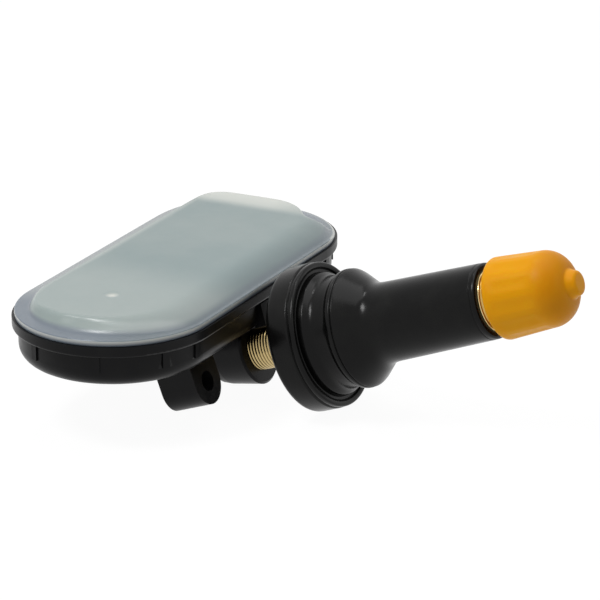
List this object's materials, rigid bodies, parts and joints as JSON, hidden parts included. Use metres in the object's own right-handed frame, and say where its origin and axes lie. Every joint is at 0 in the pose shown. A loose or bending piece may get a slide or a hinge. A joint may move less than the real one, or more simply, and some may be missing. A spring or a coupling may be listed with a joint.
{
  "type": "snap-in tyre pressure sensor",
  "caption": "Tyre pressure sensor: sealed electronics housing with a milky cover, bolted to a tilted rubber snap-in valve stem with core and cap.",
  "frame": {"origin": "on the valve stem's axis, in the middle of the rubber seat that the wheel rim's valve hole grips", "axes": "+Z square to the housing's cover, out of it; +X the way the stem points, seen square to the cover; +Y along the housing; the stem rises 20 degrees from +X towards +Z"},
  "size_m": [0.0722, 0.0613, 0.0265],
  "materials": {
    "housing_plastic": "black glass-filled nylon, satin",
    "cover_plastic": "milky translucent polypropylene, soft gloss",
    "board": "green solder mask",
    "cell_steel": "nickel-plated steel",
    "cell_gasket": "dark polypropylene",
    "tab_nickel": "nickel strip",
    "chip_black": "moulded black epoxy",
    "seal_rubber": "soft black rubber",
    "filter_white": "grey porous membrane",
    "crystal_metal": "metal can",
    "ferrite": "dark ferrite",
    "copper_wire": "enamelled copper wire",
    "antenna_metal": "gold-plated strip",
    "capacitor_body": "tan ceramic",
    "screw_steel": "zinc-plated steel",
    "stem_brass": "bright turned brass",
    "stem_rubber": "moulded black rubber, satin",
    "core_brass": "turned brass",
    "core_seal": "red seal ring",
    "spring_steel": "spring wire",
    "cap_plastic": "orange-yellow moulded plastic, gloss"
  },
  "bodies": {
    "sensor": {"housing_tub": "housing_plastic", "cover": "cover_plastic", "circuit_board": "board", "battery_can": "cell_steel", "battery_cap": "cell_steel", "battery_gasket": "cell_gasket", "battery_tab_plus": "tab_nickel", "battery_tab_minus": "tab_nickel", "pressure_sensor": "chip_black", "port_seal": "seal_rubber", "port_filter": "filter_white", "controller_chip": "chip_black", "crystal_can": "crystal_metal", "coil_core": "ferrite", "coil_winding": "copper_wire", "antenna_loop": "antenna_metal", "chip_capacitors": "capacitor_body", "retaining_screw": "screw_steel", "brass_stem": "stem_brass", "rubber_stem": "stem_rubber", "core_plug": "core_brass", "core_barrel": "core_brass", "core_barrel_seal": "core_seal", "core_spring": "spring_steel"},
    "core_needle": {"core_pin": "core_brass", "core_seat_seal": "seal_rubber"},
    "cap_lift": {"cap_gasket": "seal_rubber"},
    "cap": {"valve_cap": "cap_plastic"}
  },
  "joints": [
    {"name": "cap_rise", "type": "slide", "parent": "sensor", "child": "cap_lift", "axis": [0.9397, 0, 0.342], "range_m": [0, 0.00715]},
    {"name": "cap_turn", "type": "hinge", "parent": "cap_lift", "child": "cap", "pos_m": [0, 0, 0], "axis": [0.9397, 0, 0.342], "range_deg": [0, 3240]},
    {"name": "core_press", "type": "slide", "parent": "sensor", "child": "core_needle", "axis": [-0.9397, 0, -0.342], "range_m": [0, 0.0015], "stiffness_N_per_m": 800, "deforming": ["core_spring"]}
  ],
  "couplings": [
    {"joint": "cap_turn", "follows": "cap_rise", "rad_per_m": 7913.3}
  ]
}
